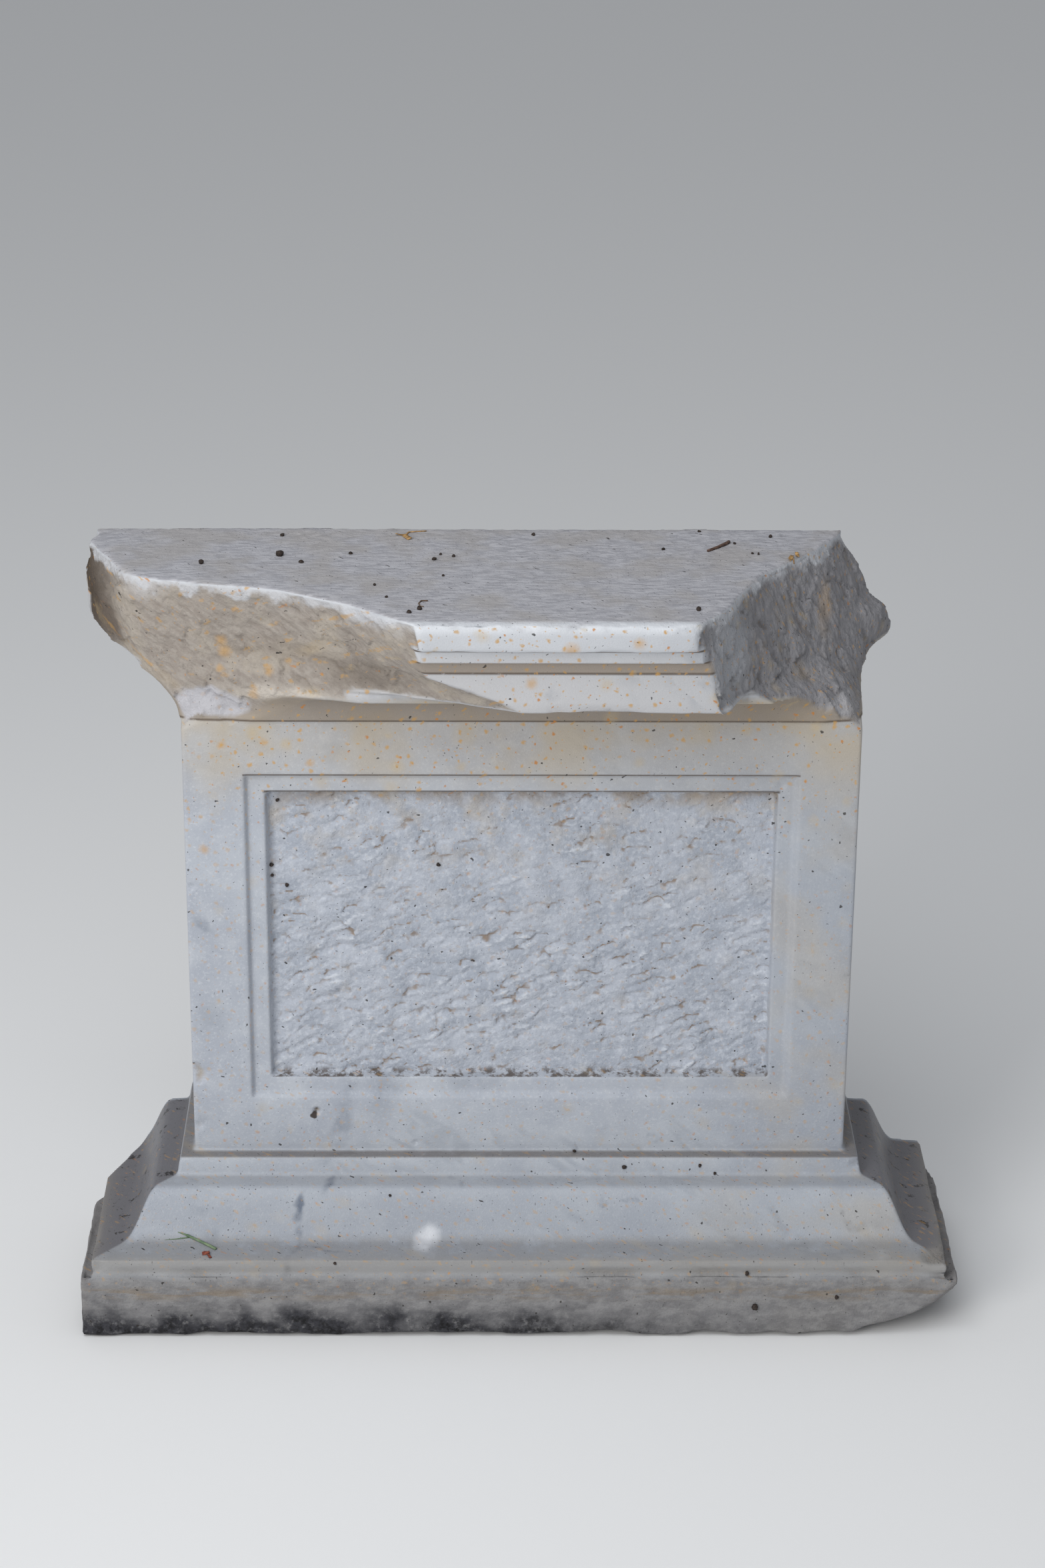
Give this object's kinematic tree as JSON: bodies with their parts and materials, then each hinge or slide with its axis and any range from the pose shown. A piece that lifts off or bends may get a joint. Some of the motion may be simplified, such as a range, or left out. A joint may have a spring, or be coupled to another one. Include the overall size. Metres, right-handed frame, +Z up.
{
  "type": "column base",
  "caption": "Broken marble pedestal front: moulded foot, die with a sunk rectangular panel, and the stump of a moulded cornice. Flat underside.",
  "frame": {"origin": "middle of the underside's full width and depth, at ground level", "axes": "+Z up, +X to the right when facing the panelled front, -Y out of the panelled front"},
  "size_m": [0.694, 0.2152, 0.61],
  "materials": {
    "marble": "weathered pale grey marble, rubbed smooth on the mouldings, rough on the breaks, with ochre spots and soil at the foot"
  },
  "bodies": {
    "root": {"column_base": "marble"}
  },
  "joints": []
}
